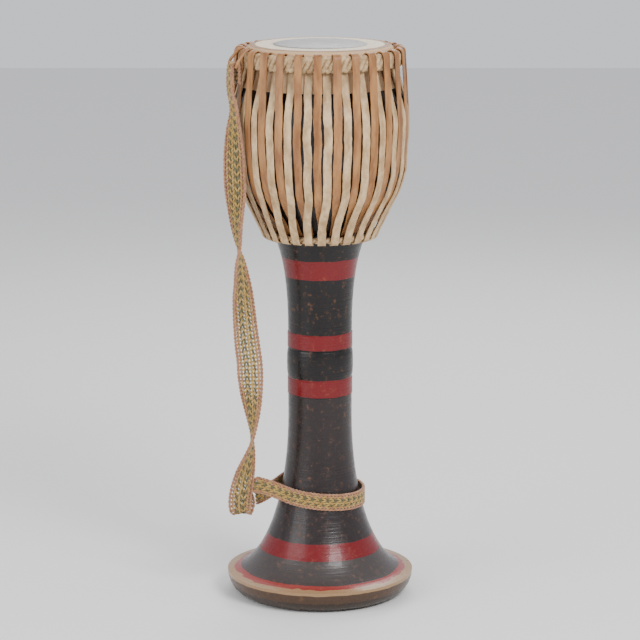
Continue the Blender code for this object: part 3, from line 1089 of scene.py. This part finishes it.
    def make(self, turn: int) -> bpy.types.Object:
        """Makes one turn.

        Args:
            turn: which turn, from the front towards +X.

        Returns:
            The turn.
        """
        dice = random.Random(self.seed + turn)
        bm = bmesh.new()
        for side in Side:
            self.strip(bm, turn, side, dice)
        bmesh.ops.remove_doubles(bm, verts=bm.verts, dist=MERGE_DISTANCE)
        bmesh.ops.recalc_face_normals(bm, faces=bm.faces)
        mesh = bpy.data.meshes.new(f"thong_turn_{turn + 1:02d}")
        bm.to_mesh(mesh)
        bm.free()
        piece = add_piece(mesh.name, mesh, [TAN_THONG, PALE_THONG], f"lacing_{turn + 1:02d}")
        solid = piece.modifiers.new("Thickness", "SOLIDIFY")
        solid.thickness = self.form.lace_thickness * self.thinning
        solid.offset = 0.0
        return piece


@dataclass
class Hanger:
    """The rawhide loop at the braid that the strap hangs from."""

    node: str = "strap_hanger"

    def dress(self) -> None:
        """Gives the CAD node its finish."""
        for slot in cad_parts[self.node].material_slots:
            slot.material = material_of(TAN_THONG)
        LOG.info("%s: the CAD node, dressed", self.node)


@dataclass
class Station:
    """One cross-section of the strap: its centre and half its width as a vector."""

    centre: Vector
    half: Vector


@dataclass
class Strap:
    """The plaited carrying strap and its noose, as columns of twisted cords along one route."""

    hanger_angle: float = math.radians(-65.8)
    eye_inner_radius: float = 0.1140
    eye_outer_radius: float = 0.1235
    eye_height: float = 0.6970
    eye_width: float = 0.0150
    eye_tail: float = 0.0220
    noose_radius: float = 0.0571
    noose_height: float = 0.1345
    noose_tilt: float = 0.0055
    noose_width: float = 0.0220
    noose_points: int = 20
    noose_start: float = -47
    noose_turn: float = 279
    noose_low_turn: float = 15
    columns: int = 8
    step: float = 0.0013
    pitch: float = 0.0100
    ply_radius: float = 0.00115
    ply_depth: float = 0.0011
    ply_spread: float = 0.52

    def eye(self) -> list[Station]:
        """The eye that goes over the hanger.

        Returns:
            Its cross-sections, from the tail behind to the front.
        """
        facing = Vector((math.cos(self.hanger_angle), math.sin(self.hanger_angle), 0.0))
        across = facing * self.eye_width / 2
        middle = (self.eye_inner_radius + self.eye_outer_radius) / 2
        reach = (self.eye_outer_radius - self.eye_inner_radius) / 2
        tail = at_angle(self.hanger_angle, self.eye_inner_radius, self.eye_height - self.eye_tail)
        made = [Station(tail, across)]
        for degrees in (180, 135, 90, 45, 0):
            turn = math.radians(degrees)
            radius = middle + reach * math.cos(turn)
            height = self.eye_height + reach * math.sin(turn)
            made.append(Station(at_angle(self.hanger_angle, radius, height), across))
        return made

    def noose(self) -> list[Station]:
        """The noose round the stem.

        Returns:
            Its cross-sections, from the strap's fold round the stem and back.
        """
        upright = Vector((0.0, 0.0, self.noose_width / 2))
        made = [Station(Vector(FOLD_POINT), Vector(FOLD_LEAN) * self.noose_width / 2)]
        made += [Station(Vector(point), upright) for point in NOOSE_TAIL]
        for i in range(self.noose_points):
            angle = math.radians(self.noose_start + self.noose_turn * i / (self.noose_points - 1))
            drop = self.noose_tilt * math.sin(angle + math.radians(self.noose_low_turn))
            height = self.noose_height - drop
            made.append(Station(at_angle(angle, self.noose_radius, height), upright))
        return made + [Station(Vector(point), upright) for point in NOOSE_RETURN]

    def stations(self) -> list[Station]:
        """The strap's coarse cross-sections.

        Returns:
            The cross-sections, from the tail of the eye to the noose's end.
        """
        made = self.eye()
        for x, y, z, degrees, width in STRAP_ROUTE:
            facing = math.radians(degrees)
            half = Vector((math.cos(facing), -math.sin(facing), 0.0)) * width / 2
            made.append(Station(Vector((x, y, z)), half))
        return made + self.noose()

    def smooth(self) -> list[Station]:
        """Puts a smooth curve through the coarse cross-sections.

        Returns:
            Cross-sections on it, a step apart.
        """
        rough = self.stations()
        made: list[Station] = []
        for i in range(len(rough) - 1):
            knots = [rough[max(i - 1, 0)], rough[i], rough[i + 1], rough[min(i + 2, len(rough) - 1)]]
            count = max(1, round((knots[2].centre - knots[1].centre).length / self.step))
            for j in range(count):
                centre = self.between_knots([knot.centre for knot in knots], j / count)
                half = self.between_knots([knot.half for knot in knots], j / count)
                made.append(Station(centre, half))
        return made + [rough[-1]]

    @staticmethod
    def between_knots(knots: list[Vector], share: float) -> Vector:
        """A point on a smooth curve through four knots.

        Args:
            knots: the four knots.
            share: how far along from the second to the third, 0 to 1.

        Returns:
            The point.
        """
        a, b, c, d = knots
        slope = b * 2 + (c - a) * share
        slope += (a * 2 - b * 5 + c * 4 - d) * share ** 2
        slope += (b * 3 - a - c * 3 + d) * share ** 3
        return slope / 2

    def ply(self, route: list[Station], column: int, ply: int) -> list[Vector]:
        """One ply of one cord. Neighbouring cords are twisted opposite ways, which makes the chevrons.

        Args:
            route: the strap's cross-sections.
            column: which cord, from one edge to the other.
            ply: which of the cord's two plies.

        Returns:
            The ply's centreline.
        """
        points = []
        hand = 1 if column % 2 else -1
        travelled = 0.0
        for i, station in enumerate(route):
            before = route[max(i - 1, 0)].centre
            after = route[min(i + 1, len(route) - 1)].centre
            travelled += (station.centre - before).length
            along = (after - before).normalized()
            half = station.half - along * station.half.dot(along)
            face = along.cross(half).normalized()
            spread = half * (2 * (column + 0.5) / self.columns - 1)
            phase = hand * 2 * math.pi * travelled / self.pitch + ply * math.pi
            wide = half.length / self.columns * self.ply_spread
            twist = half.normalized() * wide * math.cos(phase) + face * self.ply_depth * math.sin(phase)
            points.append(station.centre + spread + twist)
        return points

    def make(self) -> bpy.types.Object:
        """Makes the strap, from its eye at the drum to its noose round the stem.

        Returns:
            The strap as one mesh.
        """
        route = self.smooth()
        curve = bpy.data.curves.new("plaited_strap", "CURVE")
        curve.dimensions = "3D"
        curve.bevel_depth = self.ply_radius
        curve.bevel_resolution = 1
        curve.use_fill_caps = True
        for finish in (PINK_CORD, MUSTARD_CORD, OLIVE_CORD):
            curve.materials.append(material_of(finish))
        for column, pair in enumerate(PLY_COLOURS):
            for ply, colour in enumerate(pair):
                points = self.ply(route, column, ply)
                spline = curve.splines.new("POLY")
                spline.points.add(len(points) - 1)
                spline.material_index = colour
                spline.use_smooth = True
                for knot, point in zip(spline.points, points):
                    knot.co = (*point, 1.0)
        strap = bpy.data.objects.new("plaited_strap", mesh_of(curve))
        bpy.context.scene.collection.objects.link(strap)
        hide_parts("carry_strap", "strap_noose")
        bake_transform(strap)
        return strap


@dataclass
class Studio:
    """The camera, the lights and the pale floor."""

    camera_place: Point = (0.0, -3.5555, 1.098)
    camera_pitch: float = math.radians(78.3)
    lens: float = 157.5
    sensor_width: float = 36.0
    target: Point = (0.0, 0.0, 0.4)
    world_strength: float = 0.9
    floor_size: float = 12.0
    floor_gap: float = 0.0006

    def camera(self) -> None:
        """Sets the camera at the photograph's angle."""
        data = bpy.data.cameras.new("camera")
        data.lens = self.lens
        data.sensor_width = self.sensor_width
        camera = bpy.data.objects.new("camera", data)
        camera.location = self.camera_place
        camera.rotation_euler = (self.camera_pitch, 0.0, 0.0)
        bpy.context.scene.collection.objects.link(camera)
        bpy.context.scene.camera = camera

    def light(self, name: str, place: Point, size: float, power: float) -> None:
        """Adds a soft light that faces the drum.

        Args:
            name: the light's name.
            place: where it stands.
            size: its side.
            power: its power in watts.
        """
        data = bpy.data.lights.new(name, "AREA")
        data.size = size
        data.energy = power
        lamp = bpy.data.objects.new(name, data)
        lamp.location = place
        lamp.rotation_euler = (Vector(self.target) - Vector(place)).to_track_quat("-Z", "Y").to_euler()
        bpy.context.scene.collection.objects.link(lamp)

    def floor(self) -> None:
        """Adds the pale floor."""
        bpy.ops.mesh.primitive_plane_add(size=self.floor_size, location=(0.0, 0.0, -self.floor_gap))
        floor = bpy.context.object
        floor.name = "floor"
        nodes = Nodes("pale_floor")
        nodes.feed(nodes.shader, {"Base Color": (0.80, 0.79, 0.77, 1.0), "Roughness": 0.8})
        floor.data.materials.append(nodes.material)

    def make(self) -> None:
        """Adds the world's light, the lamps and the floor."""
        world = bpy.data.worlds.new("studio")
        world.use_nodes = True
        background = world.node_tree.nodes["Background"]
        background.inputs["Color"].default_value = (0.92, 0.94, 1.0, 1.0)
        background.inputs["Strength"].default_value = self.world_strength
        bpy.context.scene.world = world
        self.light("key_light", (1.3, -1.9, 2.1), 1.1, 75.0)
        self.light("fill_light", (-1.9, -1.4, 1.2), 1.6, 32.0)
        self.light("back_light", (0.3, 1.8, 1.8), 1.2, 22.0)
        self.floor()


def main() -> None:
    """Makes the drum's looks, with the camera and the strap first."""
    logging.basicConfig(level=logging.INFO)
    studio = Studio()
    studio.camera()
    Strap().make()
    form = Form()
    Shell(form).make()
    head = Head(form)
    head.skin()
    head.paste()
    TwistedRing(
        "rim_braid", form.braid_radius, form.braid_middle, strands=3, twists=28,
        strand_radius=0.0038, reach_out=0.0012, reach_up=0.0075,
    ).make()
    TwistedRing(
        "bottom_ring", form.ring_radius, form.ring_height, strands=2, twists=26,
        strand_radius=0.0024, reach_out=0.0020, reach_up=0.0020,
    ).make()
    lacing = Lacing(form)
    for turn in range(lacing.turns):
        lacing.make(turn)
    Hanger().dress()
    studio.make()


if __name__ == "__main__":
    main()
